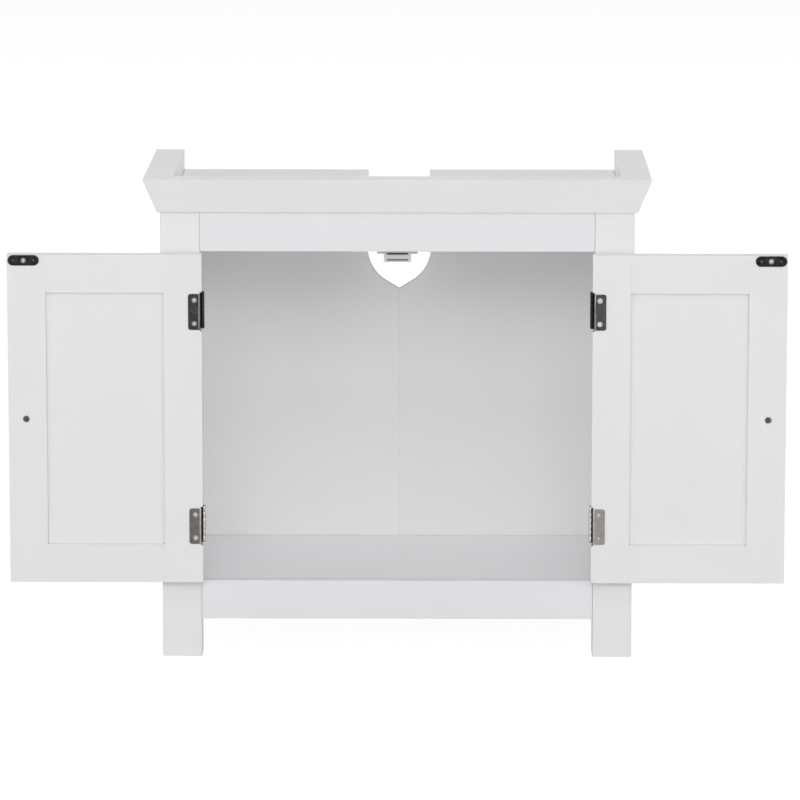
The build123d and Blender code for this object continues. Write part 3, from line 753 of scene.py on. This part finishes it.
# Studio
def seen_apart(tree, light, seen):
    """One shader as light, another for rays that show it: from the camera, a reflection or glass."""
    rays = add(tree, "ShaderNodeLightPath")
    shown = arithmetic(tree, "MAXIMUM", rays.outputs["Is Camera Ray"], rays.outputs["Is Glossy Ray"])
    shown = arithmetic(tree, "MAXIMUM", shown, rays.outputs["Is Transmission Ray"])
    mix = add(tree, "ShaderNodeMixShader")
    link(tree, shown, mix.inputs["Fac"])
    link(tree, light, mix.inputs[1])
    link(tree, seen, mix.inputs[2])
    return mix.outputs["Shader"]


def diffuse(tree, colour):
    node = add(tree, "ShaderNodeBsdfDiffuse")
    node.inputs["Color"].default_value = (*colour, 1.0)
    return node.outputs["BSDF"]


def background(tree, strength):
    node = add(tree, "ShaderNodeBackground")
    node.inputs["Color"].default_value = (1.0, 1.0, 1.0, 1.0)
    node.inputs["Strength"].default_value = strength
    return node.outputs["Background"]


def studio_white():
    """White to the lamps, and to the camera a glow with the object's shadow on it."""
    material, tree, output = new_material("studio_white")
    glow = add(tree, "ShaderNodeEmission")
    glow.inputs["Strength"].default_value = FLOOR_GLOW
    both = add(tree, "ShaderNodeAddShader")
    link(tree, diffuse(tree, FLOOR_FAINT), both.inputs[0])
    link(tree, glow.outputs["Emission"], both.inputs[1])
    shader = seen_apart(tree, diffuse(tree, FLOOR_WHITE), both.outputs["Shader"])
    link(tree, shader, output.inputs["Surface"])
    return material


def stage_floor():
    """A white floor that the camera sees as the background, less the object's shadow."""
    mesh = bpy.data.meshes.new("studio_floor")
    edit = bmesh.new()
    corners = ((-1, -1), (1, -1), (1, 1), (-1, 1))
    edit.faces.new([edit.verts.new((x * FLOOR_REACH, y * FLOOR_REACH, 0)) for x, y in corners])
    edit.to_mesh(mesh)
    edit.free()
    mesh.materials.append(studio_white())
    floor = bpy.data.objects.new("studio_floor", mesh)
    scene.collection.objects.link(floor)


def studio_world():
    """White to the eye, a softer grey as light."""
    world = bpy.data.worlds.new("studio")
    scene.world = world
    world.use_nodes = True
    tree = world.node_tree
    tree.nodes.clear()
    output = add(tree, "ShaderNodeOutputWorld")
    shader = seen_apart(tree, background(tree, AMBIENT), background(tree, BACKGROUND))
    link(tree, shader, output.inputs["Surface"])


def softbox(name, turn, height, distance, size, power):
    """A rectangular lamp on a sphere round the cabinet, facing it."""
    lamp = bpy.data.lights.new(name, "AREA")
    lamp.shape = "RECTANGLE"
    lamp.size, lamp.size_y = size
    lamp.energy = power
    box = bpy.data.objects.new(name, lamp)
    scene.collection.objects.link(box)
    turn, height = math.radians(turn), math.radians(height)
    away = Vector((math.sin(turn) * math.cos(height), -math.cos(turn) * math.cos(height), math.sin(height)))
    box.location = Vector(LAMP_AIM) + away * distance
    box.rotation_euler = (-away).to_track_quat("-Z", "Y").to_euler()
    box.visible_camera = False


def camera():
    """The photograph's camera: a long lens, tilted down a little."""
    lens = bpy.data.cameras.new("camera")
    lens.sensor_width = SENSOR_WIDTH
    lens.lens = FOCAL_PIXELS / FRAME_PIXELS * SENSOR_WIDTH
    lens.clip_start, lens.clip_end = CAMERA_RANGE
    yaw, pitch, roll = (math.radians(a) for a in (CAMERA_YAW, CAMERA_PITCH, CAMERA_ROLL))
    ahead = Vector((-math.sin(yaw) * math.cos(pitch), math.cos(yaw) * math.cos(pitch), -math.sin(pitch)))
    right = ahead.cross(Vector(ALONG_Z)).normalized()
    up = right.cross(ahead)
    turned_right = right * math.cos(roll) + up * math.sin(roll)
    turned_up = up * math.cos(roll) - right * math.sin(roll)
    eye = bpy.data.objects.new("camera", lens)
    scene.collection.objects.link(eye)
    facing = Matrix((turned_right, turned_up, -ahead)).transposed().to_4x4()
    eye.matrix_world = Matrix.Translation(CAMERA_PLACE) @ facing
    scene.camera = eye


dress_carcass()
dress_doors()
door_screws()
catch_screws()
cleat_screws()
stage_floor()
studio_world()
for name, settings in SOFTBOXES.items():
    softbox(name, *settings)
camera()
